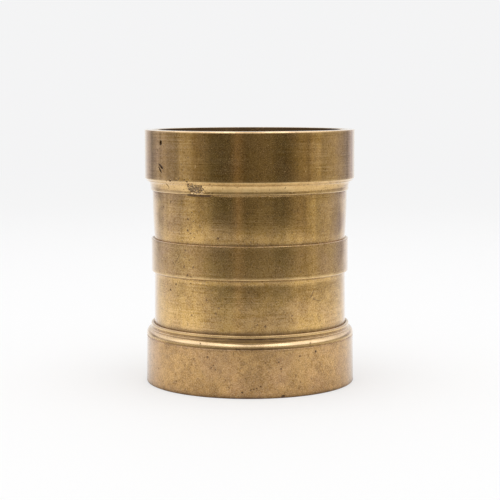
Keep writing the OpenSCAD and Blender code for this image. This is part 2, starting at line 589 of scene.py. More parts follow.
def sweep(piece):
    bpy.ops.object.modifier_add(type="SCREW")
    lathe = piece.modifiers[-1]
    lathe.angle = math.tau
    lathe.steps = TURN_STEPS
    lathe.render_steps = TURN_STEPS
    bpy.ops.object.modifier_apply(modifier=lathe.name)
    bpy.ops.object.mode_set(mode="EDIT")
    bpy.ops.mesh.select_all(action="SELECT")
    bpy.ops.mesh.remove_doubles(threshold=MERGE_BELOW * MM)
    bpy.ops.mesh.normals_make_consistent(inside=False)
    bpy.ops.object.mode_set(mode="OBJECT")
    bpy.ops.object.shade_smooth_by_angle(angle=SMOOTH_BELOW)


def turn(name, outline, closed=True):
    piece = draw(name, outline, closed)
    sweep(piece)
    print(name, "turned from", len(outline), "points:", len(piece.data.polygons), "faces")
    return piece


print("the lathe turns in", TURN_STEPS, "steps")

# %% [markdown]
# ## The barrel
#
# The barrel is the measure proper: its bore and depth hold the legal capacity. Outside it has a
# step for each ring to sit on, and between the rings the wall is drawn in to a slight waist. The
# two stretches of wall follow a parabola each: nearly straight by the collar and by the moulding,
# and drawn in faster towards the middle band, under which the wall runs out a little again. A
# small V is left above the band and above the moulding, and dirt has gathered there.
#
# Two more points in the bore, `MOUTH_DARK` and `MOUTH_CLEAR` below the rim, are there for the
# finish: the mouth keeps the dark inside colour as painted shade, and below it the wall has been
# wiped lighter.

# %% The barrel
JOINT_V = 0.3
COLLAR_SEAT_R, BELT_SEAT_R, BASE_SEAT_R = 34.1, 34.45, 34.0
WALL_TOP_R, WAIST_TOP_R = 34.81, 34.2
WAIST_LOW_R, WALL_LOW_R = 34.25, 34.42
RUNOUT_H, RUNOUT_W = 2.3, 0.08
WALL_PARTS = 23
WORN_CORNER = 0.1
MOUTH_DARK, MOUTH_CLEAR = 8, 22


def upper_wall(z):
    drop = (COLLAR_LOW - z) / (COLLAR_LOW - BELT_TOP)
    return WALL_TOP_R - (WALL_TOP_R - WAIST_TOP_R) * drop ** 2


def lower_wall(z):
    rise = (z - BASE_TOP) / (BELT_LOW - BASE_TOP)
    runout = max(0, z - BELT_LOW + RUNOUT_H) / RUNOUT_H
    return WALL_LOW_R - (WALL_LOW_R - WAIST_LOW_R) * rise ** 2 + RUNOUT_W * runout ** 2


def stretch(wall, low, high):
    steps = [low + (high - low) * part / WALL_PARTS for part in range(WALL_PARTS + 1)]
    return [(wall(z), z) for z in steps]


barrel_outline = [
    (BORE_R, FLOOR_Z), (BASE_SEAT_R, FLOOR_Z), (BASE_SEAT_R, BASE_TOP - JOINT_V),
    *stretch(lower_wall, BASE_TOP - JOINT_V, BELT_LOW),
    (BELT_SEAT_R, BELT_LOW), (BELT_SEAT_R, BELT_TOP - JOINT_V),
    *stretch(upper_wall, BELT_TOP - JOINT_V, COLLAR_LOW),
    (COLLAR_SEAT_R, COLLAR_LOW), (COLLAR_SEAT_R, RIM_Z), (BORE_R, RIM_Z),
    (BORE_R, RIM_Z - MOUTH_DARK), (BORE_R, RIM_Z - MOUTH_CLEAR),
]
barrel = turn("turned_barrel", divided(softened(barrel_outline, WORN_CORNER), COLLAR_SEAT_R + 0.05))

# %% [markdown]
# ## The rim collar
#
# A thick collar stiffens the mouth. Its top is ground flat with the barrel's end, so that a glass
# plate can slide over it. A narrow bevel on the outer edge leans just so far that it mirrors the
# windows, and shows as a bright line all round the rim. Under the plain band come an undercut, a
# listel, a wide cove and a fillet that ends on the wall.

# %% The rim collar
RIM_BEVEL, RIM_SLOPE = 0.142, 0.046
COVE_START = 20
COLLAR_BAND_H = 17.1
UNDERCUT = 0.7
LISTEL = 0.25
FILLET_R, FILLET_H, FILLET_EDGE = 35.4, 1.1, 0.3

band_low = RIM_Z - COLLAR_BAND_H
listel_r = COLLAR_R - UNDERCUT
cove_top = band_low - UNDERCUT - LISTEL
cove_r = listel_r - LISTEL
cove_low = COLLAR_LOW + FILLET_H
cove_half_r = (FILLET_R - cove_r) / math.cos(math.radians(COVE_START))
cove_half_z = (cove_top - cove_low) / (1 - math.sin(math.radians(COVE_START)))
collar_outline = [
    (COLLAR_SEAT_R, COLLAR_LOW), (FILLET_R - FILLET_EDGE, COLLAR_LOW),
    (FILLET_R, COLLAR_LOW + FILLET_EDGE),
    *bow(cove_r, cove_top - cove_half_z, cove_half_r, cove_half_z, COVE_START, 90, 12),
    (listel_r, cove_top), (listel_r, cove_top + LISTEL), (COLLAR_R, band_low),
    (COLLAR_R, RIM_Z - RIM_BEVEL), (COLLAR_R - RIM_SLOPE, RIM_Z), (COLLAR_SEAT_R, RIM_Z),
]
collar = turn("turned_collar", divided(softened(collar_outline, WORN_CORNER), COLLAR_SEAT_R + 0.2))

# %% [markdown]
# ## The middle band
#
# A plain raised band goes round the waist. Its upper edge is rounded and catches the light as one
# bright line, just under the dark line of the joint. Its lower edge is a small bevel.

# %% The middle band
BELT_EDGE = 0.3

belt_outline = [
    (BELT_SEAT_R, BELT_LOW), (BELT_R - BELT_EDGE, BELT_LOW), (BELT_R, BELT_LOW + BELT_EDGE),
    *bow(BELT_R - BELT_EDGE, BELT_TOP - BELT_EDGE, BELT_EDGE, BELT_EDGE, 0, 90),
    (BELT_SEAT_R + JOINT_V, BELT_TOP), (BELT_SEAT_R, BELT_TOP - JOINT_V),
]
belt = turn("turned_band", divided(softened(belt_outline, WORN_CORNER), BELT_SEAT_R + 0.05))

# %% [markdown]
# ## The base moulding
#
# Between wall and foot stands a moulding of three members: a thin lip, a hollow neck and a round
# bead. The bead is the brightest thing on the vessel, because its curve mirrors the windows
# whichever side it is seen from, and because hands and cloths have kept it polished. A quirk, the
# small step in a moulding that throws a dark line, parts it from the foot.

# %% The base moulding
LIP_R, LIP_H, LIP_EDGE = 35.6, 0.95, 0.35
NECK_R = 0.35
BEAD_R, BEAD_W, BEAD_H = 37.25, 1.35, 2.05
QUIRK_DEPTH, QUIRK_H, QUIRK_SLOPE = 0.35, 0.26, 0.22

bead_low = FOOT_TOP + QUIRK_H + QUIRK_SLOPE
moulding_outline = [
    (BASE_SEAT_R, FOOT_TOP), (BEAD_R - QUIRK_DEPTH, FOOT_TOP),
    (BEAD_R - QUIRK_DEPTH, FOOT_TOP + QUIRK_H),
    *bow(BEAD_R - BEAD_W, bead_low, BEAD_W, BEAD_H, 0, 90, 16),
    *bow(LIP_R, BASE_TOP - LIP_H - NECK_R, NECK_R, NECK_R, 270, 90),
    *bow(LIP_R - LIP_EDGE, BASE_TOP - LIP_EDGE, LIP_EDGE, LIP_EDGE, 0, 90, 5),
    (WALL_LOW_R + JOINT_V, BASE_TOP), (WALL_LOW_R, BASE_TOP - JOINT_V),
    (BASE_SEAT_R, BASE_TOP - JOINT_V),
]
moulding = turn(
    "turned_moulding", divided(softened(moulding_outline, WORN_CORNER / 2), BASE_SEAT_R + 0.3)
)

# %% [markdown]
# ## The foot
#
# The deep plain band that the measure stands on is hollow underneath, so that it rests on a ring
# and not on its middle. A ledge inside carries the bottom plate.

# %% The foot ring
FOOT_TOP_R, FOOT_LOW_R = 37.2, 37.35
FOOT_EDGE = 0.4
HOLLOW_R, HOLLOW_EDGE = 31.0, 0.3

foot_outline = [
    (HOLLOW_R + HOLLOW_EDGE, 0),
    *bow(FOOT_LOW_R - FOOT_EDGE, FOOT_EDGE, FOOT_EDGE, FOOT_EDGE, 270, 360, 6),
    (FOOT_TOP_R, FOOT_TOP - QUIRK_SLOPE), (FOOT_TOP_R - QUIRK_SLOPE, FOOT_TOP),
    (BASE_SEAT_R, FOOT_TOP), (BASE_SEAT_R, PLATE_LOW), (HOLLOW_R, PLATE_LOW),
    (HOLLOW_R, HOLLOW_EDGE),
]
foot = turn("turned_foot", divided(softened(foot_outline, WORN_CORNER), HOLLOW_R + 0.1))

# %% [markdown]
# ## The bottom plate and its solder
#
# A disc closes the vessel. It was faced in the lathe, so both its sides carry fine rings, and the
# mark of the centre is left in the middle of the underside. Inside, a run of soft solder seals the
# floor to the wall. Solder is laid by hand with an iron, so its surface is not as even as the
# turned parts. Both are small pieces that only a look into the mouth or under the foot will show.

# %% The bottom plate
PLATE_R = BASE_SEAT_R
CENTRE_MARK_R, CENTRE_MARK_DEPTH = 0.7, 0.5
PLATE_STEP = 1.6

plate_outline = [
    (0, PLATE_LOW + CENTRE_MARK_DEPTH), (CENTRE_MARK_R, PLATE_LOW), (PLATE_R, PLATE_LOW),
    (PLATE_R, FLOOR_Z), (0, FLOOR_Z),
]
plate_line = divided(softened(plate_outline, WORN_CORNER, False), 0, False, PLATE_STEP)
plate = turn("turned_bottom_plate", plate_line, False)

# %% The solder fillet
SOLDER = BORE_R - radii("solder_fillet")[0]

solder_outline = [
    (BORE_R, FLOOR_Z), *bow(BORE_R - SOLDER, FLOOR_Z + SOLDER, SOLDER, SOLDER, 0, -90, 8),
]
solder = turn("solder_run", divided(solder_outline, 0))

# %% [markdown]
# ## Marks of a long life
#
# A vessel like this has been knocked, dropped and cleaned for generations, and its casting had
# small holes from the start. These marks are shapes, so they are made in the mesh. The faces round
# each mark are subdivided, a vertex group says how far each vertex is pressed in, and a Displace
# modifier presses. That gives round, smooth bowls, where moving single vertices would leave
# creases. Only the outer skin is pressed, so each helper is told from what radius that starts.
#
# A mark is written as its angle round the vessel, its level, its half length, its half width and
# its depth, and how far its long side leans from level, in degrees. To look up the marks near a
# place quickly, they are sorted by sector, like the slices of a cake. `spread` is 0 in the middle of
# a mark and 1 on its edge.

# %% Helpers for finding marks
REACH, MARGIN = 1.2, 0.3
SECTORS = 36


def polar(point):
    angle = math.degrees(math.atan2(point.x, -point.y))
    return math.hypot(point.x, point.y) / MM, angle, point.z / MM


def sector(angle):
    return int(angle % 360 * SECTORS / 360) % SECTORS


def by_sector(marks):
    index = [[] for _ in range(SECTORS)]
    for mark in marks:
        for step in (-1, 0, 1):
            index[(sector(mark[0]) + step) % SECTORS].append(mark)
    return index


def aside_from(mark, place):
    return math.radians((place[1] - mark[0] + 180) % 360 - 180) * place[0]


def spread(mark, place):
    aside, rise = aside_from(mark, place), place[2] - mark[1]
    lean = math.radians(mark[5])
    along = (aside * math.cos(lean) + rise * math.sin(lean)) / mark[2]
    across = (rise * math.cos(lean) - aside * math.sin(lean)) / mark[3]
    return math.hypot(along, across)


def close_marks(index, place):
    near = []
    for mark in index[sector(place[1])]:
        reach = max(mark[2], mark[3]) * REACH + MARGIN
        if abs(place[2] - mark[1]) < reach and abs(aside_from(mark, place)) < reach:
            near.append(mark)
    return near


print("marks are found by", SECTORS, "sectors")

# %% Helpers for pressing marks
CUTS = 4
DEEPEST = 1.0
BOWL_ROUND = 1.5
marks_of = {}


def select_near(piece, index, outer_from):
    clear_selection()
    piece.select_set(True)
    bpy.context.view_layer.objects.active = piece
    bpy.ops.object.mode_set(mode="EDIT")
    bpy.ops.mesh.select_mode(type="FACE")
    bpy.ops.mesh.select_all(action="DESELECT")
    mesh = bmesh.from_edit_mesh(piece.data)
    for face in mesh.faces:
        place = polar(face.calc_center_median())
        face.select = place[0] > outer_from and bool(close_marks(index, place))
    mesh.select_flush_mode()
    bmesh.update_edit_mesh(piece.data)


def weigh(piece, group, rule, outer_from):
    weights = piece.vertex_groups.new(name=group)
    for vertex in piece.data.vertices:
        place = polar(vertex.co)
        weight = rule(place) if place[0] > outer_from else 0
        if weight > 0:
            weights.add([vertex.index], min(weight, 1), "REPLACE")


def displace(piece, group, strength, texture=None, mid_level=0.0):
    clear_selection()
    piece.select_set(True)
    bpy.context.view_layer.objects.active = piece
    bpy.ops.object.modifier_add(type="DISPLACE")
    push = piece.modifiers[-1]
    push.vertex_group = group
    push.strength = strength * MM
    push.mid_level = mid_level
    push.texture = texture
    push.texture_coords = "LOCAL"
    bpy.ops.object.modifier_apply(modifier=push.name)


def press(piece, marks, outer_from):
    index = by_sector(marks)
    select_near(piece, index, outer_from)
    bpy.ops.mesh.subdivide(number_cuts=CUTS, ngon=False)
    bpy.ops.object.mode_set(mode="OBJECT")

    def bowl(place):
        near = close_marks(index, place)
        depths = [
            mark[4] * max(0, 1 - spread(mark, place) ** 2) ** BOWL_ROUND for mark in near
        ]
        return max(depths, default=0) / DEEPEST

    weigh(piece, "pressed", bowl, outer_from)
    displace(piece, "pressed", -DEEPEST)
    marks_of.setdefault(piece.name, []).extend(marks)
    print(piece.name, "has", len(marks), "new marks, now", len(piece.data.polygons), "faces")


print("each edge near a mark gets", CUTS, "cuts")

# %% [markdown]
# Turned and polished by hand, the outside isn't a perfect cylinder either. A soft cloud pattern
# draws it in by a few hundredths of a millimetre, just enough to make reflections waver. It only
# ever goes inward, so no piece grows past its size in the frame. Where one piece meets another,
# and on the ground rim, the surface stays true.

# %% Waviness
WALL_SKIN_R, COLLAR_SKIN_R, BELT_SKIN_R = BASE_SEAT_R + 0.1, FILLET_R - 0.6, BELT_R - 0.5
MOULDING_SKIN_R, FOOT_SKIN_R = BEAD_R - 1, FOOT_TOP_R - 0.6
WAVE_DEPTH = 0.045
WAVE_LENGTH, WAVE_DETAIL = 13, 2
KEEP_TRUE = 1.2

waves = bpy.data.textures.new("hand_polish", "CLOUDS")
waves.noise_scale = WAVE_LENGTH * MM
waves.noise_depth = WAVE_DETAIL


def ripple(piece, low, high, outer_from):
    def amount(place):
        from_end = min(place[2] - low, high - place[2]) / KEEP_TRUE
        return max(0, min(1, from_end))

    weigh(piece, "wave", amount, outer_from)
    displace(piece, "wave", WAVE_DEPTH, waves, 1.0)


ripple(barrel, BASE_TOP, BELT_LOW, WALL_SKIN_R)
ripple(barrel, BELT_TOP, COLLAR_LOW, WALL_SKIN_R)
ripple(collar, band_low, RIM_Z, COLLAR_R - 0.2)
ripple(belt, BELT_LOW, BELT_TOP, BELT_R - 0.1)
ripple(foot, 0, FOOT_TOP, FOOT_TOP_R - 0.2)
print("wave depth", WAVE_DEPTH, "mm")

# %% [markdown]
# The marks on the front are placed one by one: on the collar a hole, two slanting gouges and a row
# of specks along its lower edge, on the walls and the middle band pits, and on the foot a few nicks
# near the ground. `pits` writes several round ones of one size.
#
# The rest is chance, from a fixed seed. `scattered` puts marks of the same kinds on the unseen
# sides, many small and a few large. `freckles` are the smallest pits that the photograph still
# shows, on the front of the cove and the foot.

# %% Kinds of marks
MARKS_SEED = 7
HIDDEN_FROM = 84
LARGE = 0.32
SMALLEST, MOSTLY_SMALL = 0.35, 1.6
LENGTHS = (1, 1, 1, 1.4, 2)
DEPTHS = (0.35, 0.7)
MOST_LEAN = 70
FRECKLE, FRECKLE_DEPTH, FRECKLED_TO = 0.14, 0.05, 62

chance = random.Random(MARKS_SEED)


def pits(size, depth, *places):
    return [(angle, level, size, size, depth, 0) for angle, level in places]


def scattered(count, low, high, large=LARGE):
    marks = []
    for _ in range(count):
        angle = 180 + chance.uniform(HIDDEN_FROM - 180, 180 - HIDDEN_FROM)
        size = large * chance.uniform(SMALLEST, 1) ** MOSTLY_SMALL
        length = size * chance.choice(LENGTHS)
        level, lean = chance.uniform(low, high), chance.uniform(-MOST_LEAN, MOST_LEAN)
        marks.append((angle, level, length, size, size * chance.uniform(*DEPTHS), lean))
    return marks


def freckles(count, low, high):
    spots = []
    for _ in range(count):
        angle = chance.uniform(-FRECKLED_TO, FRECKLED_TO)
        spots.append((angle, chance.uniform(low, high)))
    return pits(FRECKLE, FRECKLE_DEPTH, *spots)


print("marks on the unseen sides start", HIDDEN_FROM, "degrees from the front")

# %% The marks on the collar
collar_marks = [
    (-54.5, 86.2, 0.72, 0.85, 0.8, 0),
    (-54.5, 78.1, 1.6, 0.5, 0.42, -31), (-55.4, 76.9, 1.4, 0.46, 0.42, -49),
    (-51.8, 71.6, 0.9, 0.2, 0.2, -50), (-58.2, 83.6, 0.3, 0.4, 0.12, 0),
    (-46.4, 73.4, 0.5, 0.28, 0.22, 10), (-41.8, 73.7, 0.3, 0.3, 0.2, 0),
    (-36.4, 73.9, 0.4, 0.26, 0.2, 25), (-34.5, 73.4, 0.28, 0.34, 0.24, 0),
    *pits(0.22, 0.12, (-38.6, 73.5), (-32.5, 74.3), (-49.5, 73.3)),
    *pits(0.24, 0.07, (-40.5, 74.4), (-38.3, 79.2), (-37.1, 77.3), (-29.3, 78.4), (-43.3, 80.1)),
    *pits(0.2, 0.05, (-41.0, 82.3), (-35.9, 84.9), (-44.9, 77.2), (-33.7, 81.6), (30.3, 76.9)),
    *scattered(40, band_low + 0.4, RIM_Z - 1.2),
    *scattered(14, band_low - 0.1, band_low + 0.5),
    *scattered(8, COLLAR_LOW + 0.3, cove_top),
    *freckles(40, COLLAR_LOW + 0.8, cove_top + 0.3),
]
press(collar, collar_marks, COLLAR_SKIN_R)

# %% The marks on the walls
wall_marks = [
    (-18.2, 54.3, 0.42, 0.34, 0.16, 0), (-51.5, 65.9, 0.6, 0.34, 0.16, 60),
    *pits(0.36, 0.1, (-37.5, 60.4), (-37.9, 56.5), (-59.5, 64), (-48.2, 37.5)),
    *pits(0.28, 0.07, (-33.6, 59.7), (-29.3, 58.5), (-35.9, 55.6), (0.6, 53.2), (-34.5, 62.8)),
    *pits(0.22, 0.05, (-33.3, 54.3), (-48.0, 58.5), (-31.2, 56.7), (-41.2, 62.8), (-44.6, 55.1)),
    *pits(0.36, 0.1, (-17.9, 30.5), (-19.7, 28.6), (8.8, 24.4), (-53.5, 35.2)),
    *pits(0.28, 0.07, (-36.2, 38.3), (-25.5, 33), (4.3, 24.9), (24.7, 27.6), (-35.5, 27.4)),
    (38.6, 34.6, 1.6, 0.14, 0.05, 58), (42.4, 32.2, 2.0, 0.12, 0.045, -12),
    (40.1, 33, 0.3, 0.2, 0.08, 0),
    *scattered(34, BASE_TOP + 0.8, BELT_LOW - 0.8),
    *scattered(34, BELT_TOP + 0.8, COLLAR_LOW - 0.8),
]
press(barrel, wall_marks, WALL_SKIN_R)

# %% The marks on the band and the moulding
belt_marks = [
    (-44.6, 46.7, 1.5, 0.2, 0.08, 52), (-47.9, 44.8, 1.2, 0.18, 0.06, -48),
    *pits(0.36, 0.1, (-38.7, 49.7), (-39.7, 43.9), (-33.1, 44.1), (-37.2, 41.2)),
    *pits(0.26, 0.07, (-60.1, 45.1), (-34.8, 40.9), (-39.0, 47.3), (-35.8, 46.5), (29.4, 42.6)),
    *scattered(30, BELT_LOW + 0.5, BELT_TOP - 0.5),
    *scattered(6, BELT_TOP - 0.4, BELT_TOP),
]
press(belt, belt_marks, BELT_SKIN_R)

moulding_marks = [
    *scattered(16, bead_low, BASE_TOP),
    *pits(0.26, 0.06, (-27.1, 18.3), (33.7, 18.1)),
]
press(moulding, moulding_marks, MOULDING_SKIN_R)

# %% The marks on the foot
foot_marks = [
    (17.5, 0.6, 0.75, 0.45, 0.4, 8), (-4.1, 2.3, 0.34, 0.3, 0.2, 0),
    (-22.8, 13.9, 0.4, 0.34, 0.18, 0), (16.4, 10.1, 0.34, 0.28, 0.16, 0),
    (37.3, 15, 0.4, 0.34, 0.2, 0), (-8.6, 15.6, 0.12, 0.9, 0.07, 0),
    *pits(0.26, 0.08, (0.4, 3.1), (2.0, 3.4), (3.4, 3.7), (5.5, 4.3), (15.2, 12.4), (27.2, 14)),
    *pits(0.26, 0.07, (-20.7, 10.3), (-18.3, 9.8), (-19.6, 11.2), (-58.9, 7.3), (-54.6, 3.1)),
    *pits(0.22, 0.05, (24.8, 7.6), (8.0, 12.4), (-30.9, 12.9), (-43.1, 4.2)),
    *pits(0.22, 0.05, (-12.9, 6.3), (-6.2, 0.9)),
    *scattered(36, 1, FOOT_TOP - 1),
    *scattered(12, 0.1, 0.7, 0.6),
    *freckles(26, 0.6, FOOT_TOP - 1),
]
press(foot, foot_marks, FOOT_SKIN_R)

# %% [markdown]
# ## The flaw under the collar
#
# At the front left the casting went wrong: a patch of the cove is rough and porous, and under it
# the joint between collar and wall has opened in two dark slits. The slits are long marks across
# the joint, pressed into both pieces. The patch gets a handful of small pits, and is then broken up
# with a fine noise that digs in more than it raises.

# %% The flaw
FLAW = (-31.2, 70.8, 3.1, 1.6, 0.25, -6)
FLAW_PITS = [
    (-35.8, 71.7, 0.3, 0.26, 0.25, 0), (-35.2, 70.7, 0.36, 0.24, 0.25, 40),
    (-34.6, 72.4, 0.42, 0.24, 0.25, 10), (-34.1, 69.9, 0.4, 0.26, 0.25, -15),
    (-32.0, 72.6, 0.34, 0.2, 0.2, 0), (-27.0, 71.9, 0.3, 0.3, 0.25, 0),
    (-26.2, 70.9, 0.36, 0.22, 0.25, -60), (-27.4, 70.4, 0.28, 0.24, 0.2, 0),
    (-28.6, 69.6, 0.5, 0.2, 0.2, 8), (-25.1, 70.2, 0.2, 0.2, 0.12, 0),
]
SLITS = [(-33.7, 68.6, 2.4, 0.44, 0.6, -2), (-26.3, 68.5, 2.7, 0.4, 0.55, 2)]
GRAIN, GRAIN_DETAIL = 0.8, 3
GRAIN_RELIEF, GRAIN_LEVEL = 0.6, 0.75
FLAW_EDGE, FLAW_RISE = 1.35, 1.5

grit = bpy.data.textures.new("porous_metal", "CLOUDS")
grit.noise_scale = GRAIN * MM
grit.noise_depth = GRAIN_DETAIL
press(collar, [*FLAW_PITS, *SLITS], COLLAR_SKIN_R)
press(barrel, SLITS, WALL_SKIN_R)


def flaw_share(place):
    return max(0, min(1, FLAW_RISE * (FLAW_EDGE - spread(FLAW, place))))


weigh(collar, "porous", flaw_share, COLLAR_SKIN_R)
displace(collar, "porous", GRAIN_RELIEF, grit, GRAIN_LEVEL)
print("flaw made on the collar")

# %% [markdown]
# ## Where dirt, wear and painted light and shade sit
#
# Polish never reaches the root of a joint or the bottom of a pit, so they stay dark, while hands
# and cloths rub the edges bright. Both could be guessed in the material from the shape, but such
# tricks don't survive an export. Each vertex is told instead: one attribute for dark places, which
# holds dirt and also painted shade, one for worn edges, which also holds a painted reflection, and
# two more for the rough flaw and for the inside of the vessel.
#
# A joint, a shaded hollow or an edge is written as its radius, its level, how far its dark or its
# shine reaches, and what share of it is lost towards the sides, where the photograph hardly shows
# it. `nearness` gives the strongest line at a place.

# %% Where joints and edges run
JOINTS_AND_SHADE = [
    (FILLET_R - 0.3, COLLAR_LOW, 0.4, 0.5), (BELT_SEAT_R, BELT_TOP - 0.1, 0.85, 0.6),
    (BELT_SEAT_R, BELT_LOW, 0.45, 0.6), (WALL_LOW_R + 0.1, BASE_TOP + 0.12, 0.88, 0.4),
    # Painted shade on the next three lines: the hollow neck, the quirk under the bead and the bead's
    # top.
    (LIP_R - NECK_R, BASE_TOP - LIP_H - NECK_R, 0.7, 0.7),
    (BEAD_R - QUIRK_DEPTH, FOOT_TOP + 0.42, 0.85, 0.85),
    (BEAD_R - BEAD_W + 0.15, bead_low + BEAD_H, 0.7, 0.8),
    (BELT_R - BELT_EDGE, BELT_LOW, 0.12, 0.5), (COLLAR_SEAT_R, RIM_Z, 0.12, 0),
    (BORE_R, FLOOR_Z + SOLDER, 0.5, 0), (HOLLOW_R, PLATE_LOW, 0.8, 0),
    # Painted shade: the lowest edge of the foot mirrors the shadow on the table, and this darkens it.
    (FOOT_LOW_R - 0.1, 0, 0.95, 0.2),
]
EDGES_AND_SHEEN = [
    (COLLAR_R, band_low, 0.2, 0), (listel_r, cove_top, 0.25, 0),
    # The first entry below is a painted reflection: a wide band that lightens the cove, most at the
    # front.
    (FILLET_R + 0.4, cove_low + 1.1, 2.1, 0.9), (FILLET_R, COLLAR_LOW + FILLET_EDGE, 0.35, 0),
    (COLLAR_R, RIM_Z - 0.15, 0.25, 0), (BELT_R, BELT_LOW + BELT_EDGE, 0.3, 0),
    (LIP_R, BASE_TOP - 0.6 * LIP_H, 0.36, 0), (BEAD_R - 0.2, bead_low + 0.9, 0.8, 0),
    (FOOT_TOP_R, bead_low - 0.4, 0.2, 0),
]
SIDES_FROM = 1.3
FADED_OUT = 3


def nearness(place, lines):
    sideways = min(1, SIDES_FROM * math.sin(math.radians(place[1])) ** 2)
    best = 0
    for line_r, line_z, reach, loss in lines:
        gap = abs(place[0] - line_r) + abs(place[2] - line_z)
        if gap < FADED_OUT * reach:
            best = max(best, (1 - loss * sideways) * math.exp(-(gap / reach) ** 2))
    return best


print(len(JOINTS_AND_SHADE), "joints and", len(EDGES_AND_SHEEN), "edges")

# %% [markdown]
# Pits are filled with dirt, deep ones more than shallow ones. The ground top of the rim is rubbed
# all over. Inside, cloths have wiped the wall lighter, but not up to the mouth, which keeps the
# dark inside colour as painted shade.

# %% Painting attributes on the pieces
PIT_DIRT, PIT_EDGE, PIT_SHARP = 0.72, 1.3, 3
RIM_SKIN, INSIDE_SKIN = 0.05, 0.2
INSIDE_LOW, INSIDE_WORN = PLATE_LOW + 1, 0.8


def paint(piece, attribute, rule):
    values = [rule(polar(vertex.co)) for vertex in piece.data.vertices]
    layer = piece.data.attributes.new(name=attribute, type="FLOAT", domain="POINT")
    layer.data.foreach_set("value", values)


def inside(place):
    return float(place[0] < BORE_R + INSIDE_SKIN and place[2] > INSIDE_LOW)


def paint_wear(piece):
    index = by_sector(marks_of.get(piece.name, []))
    piece.vertex_groups.clear()

    def dirt(place):
        near = close_marks(index, place)
        filled = [
            min(1, PIT_DIRT + mark[4]) * min(1, PIT_SHARP * (PIT_EDGE - spread(mark, place)))
            for mark in near
        ]
        return max(0, max(filled, default=0), nearness(place, JOINTS_AND_SHADE))

    def worn(place):
        if place[2] > RIM_Z - RIM_SKIN and place[0] > BORE_R:
            return 1
        wiped = (RIM_Z - place[2] - MOUTH_DARK) / (MOUTH_CLEAR - MOUTH_DARK)
        wiped = INSIDE_WORN * inside(place) * max(0, min(1, wiped))
        return max(wiped, nearness(place, EDGES_AND_SHEEN))

    paint(piece, "dirt", dirt)
    paint(piece, "worn", worn)
    paint(piece, "flaw", flaw_share)
    paint(piece, "inside", inside)
    print(piece.name, "painted,", len(piece.data.vertices), "vertices")


for piece in (barrel, collar, belt, moulding, foot, plate, solder):
    paint_wear(piece)

# %% [markdown]
# ## Effects shared by the brass materials
#
# The rings were turned from the same metal and have aged together, so their finishes are made of
# the same effects in different strengths. Each effect is a node group with named inputs, built
# once. All read the object's own coordinates, so a pattern stays on the metal from every view.
#
# A pattern's size is given in millimetres, and `in_a_metre` turns it into a noise's scale. A noise
# swings about its middle value, and `swing_of` says how far it is above or below that.

# %% Helpers for groups
GROUP_KINDS = {float: "NodeSocketFloat", tuple: "NodeSocketColor"}
NOISE_MIDDLE = 0.5


def new_group(name, inputs, outputs):
    group = bpy.data.node_groups.new(name, "ShaderNodeTree")
    for title, value in inputs.items():
        kind = GROUP_KINDS[type(value)]
        socket = group.interface.new_socket(name=title, in_out="INPUT", socket_type=kind)
        socket.default_value = value
    for title, kind in outputs.items():
        group.interface.new_socket(name=title, in_out="OUTPUT", socket_type="NodeSocket" + kind)
    entry = group.nodes.new("NodeGroupInput").outputs
    return group, entry, group.nodes.new("NodeGroupOutput")


def in_a_metre(size):
    return 1 / (size * MM)


def shifted(tree, place, shift):
    return add_node(tree, "Mapping", {"Vector": place, "Location": shift}).outputs[0]


def swing_of(tree, value):
    return calc(tree, "SUBTRACT", value, NOISE_MIDDLE)


print("group helpers ready")

# %% [markdown]
# `lathe lines` are the faint rings that the tool and the polishing cloth left. A noise is
# stretched along the turning and squeezed across it. Height and radius are added up, so that the
# lines also run round a flat face.

# %% The lathe lines
RADIUS_SHARE = 0.8
LINES_DETAIL = 3


def lathe_lines():
    tree, entry, leave = new_group(
        "lathe lines", {"Along per m": 50.0, "Across per m": 2400.0}, {"Height": "Float"}
    )
    spot = object_place(tree)
    flat = vector(tree, "MULTIPLY", spot, (1, 1, 0))
    reach = vector(tree, "LENGTH", flat)
    across = calc(tree, "MULTIPLY_ADD", reach, RADIUS_SHARE, split(tree, spot)["Z"])
    across = calc(tree, "MULTIPLY", across, entry["Across per m"])
    along = vector(tree, "SCALE", flat, Scale=entry["Along per m"])
    lift = add_node(tree, "CombineXYZ", {"Z": across}).outputs[0]
    rings = noise(tree, vector(tree, "ADD", along, lift), scale=1, detail=LINES_DETAIL)
    plug(tree, leave, {"Height": rings})
    return tree


lines_group = lathe_lines()
print(lines_group.name, "ready")

# %% [markdown]
# `patina` is the colour of the skin. Old brass is never one colour: clouds of brown tarnish lie over
# the yellow metal, and finer mottling and grain break them up. Here and there the surface has lost
# zinc and turned pink. The browner patches are peppered with tiny dark dots, and a dust-fine noise
# makes every spot a little paler or darker. The group also says how dull each spot is, for the
# roughness, and gives the grain as a height.

# %% The patina
CLOUD, MOTTLE, SPECKLE = 11, 2.2, 0.45
CLOUD_SHARE, MOTTLE_SHARE = 0.55, 0.45
TARNISH_MIDDLE, TARNISH_SOFT, BROWN_PULL = 0.65, 0.2, 0.3
GRAIN_SWING = 1.6
ROSE_CLOUD, ROSE_FROM, ROSE_TO = 9, 0.42, 0.72
PEPPER, PEPPER_FROM, PEPPER_TO = 0.5, 0.52, 0.66
PEPPER_BROWN, PEPPERED_FROM, PEPPERED_TO = (0.2, 0.11, 0.035, 1), 0.38, 0.56
DUST, DUST_SWING = 0.4, (0.72, 0.59, 0.40)
ROSE_SHIFT, PEPPER_SHIFT, DUST_SHIFT = (0.3, 0.1, 0.2), (0.7, 0.4, 0.1), (0.2, 0.6, 0.9)
PATINA_INPUTS = {
    "Bright": (0.75, 0.5, 0.2, 1.0), "Brown": (0.4, 0.26, 0.1, 1.0), "Rose": (0.6, 0.4, 0.3, 1.0),
    "Brown Share": 0.5, "Rose Share": 0.4, "Grain": 0.5, "Pepper": 0.3,
}


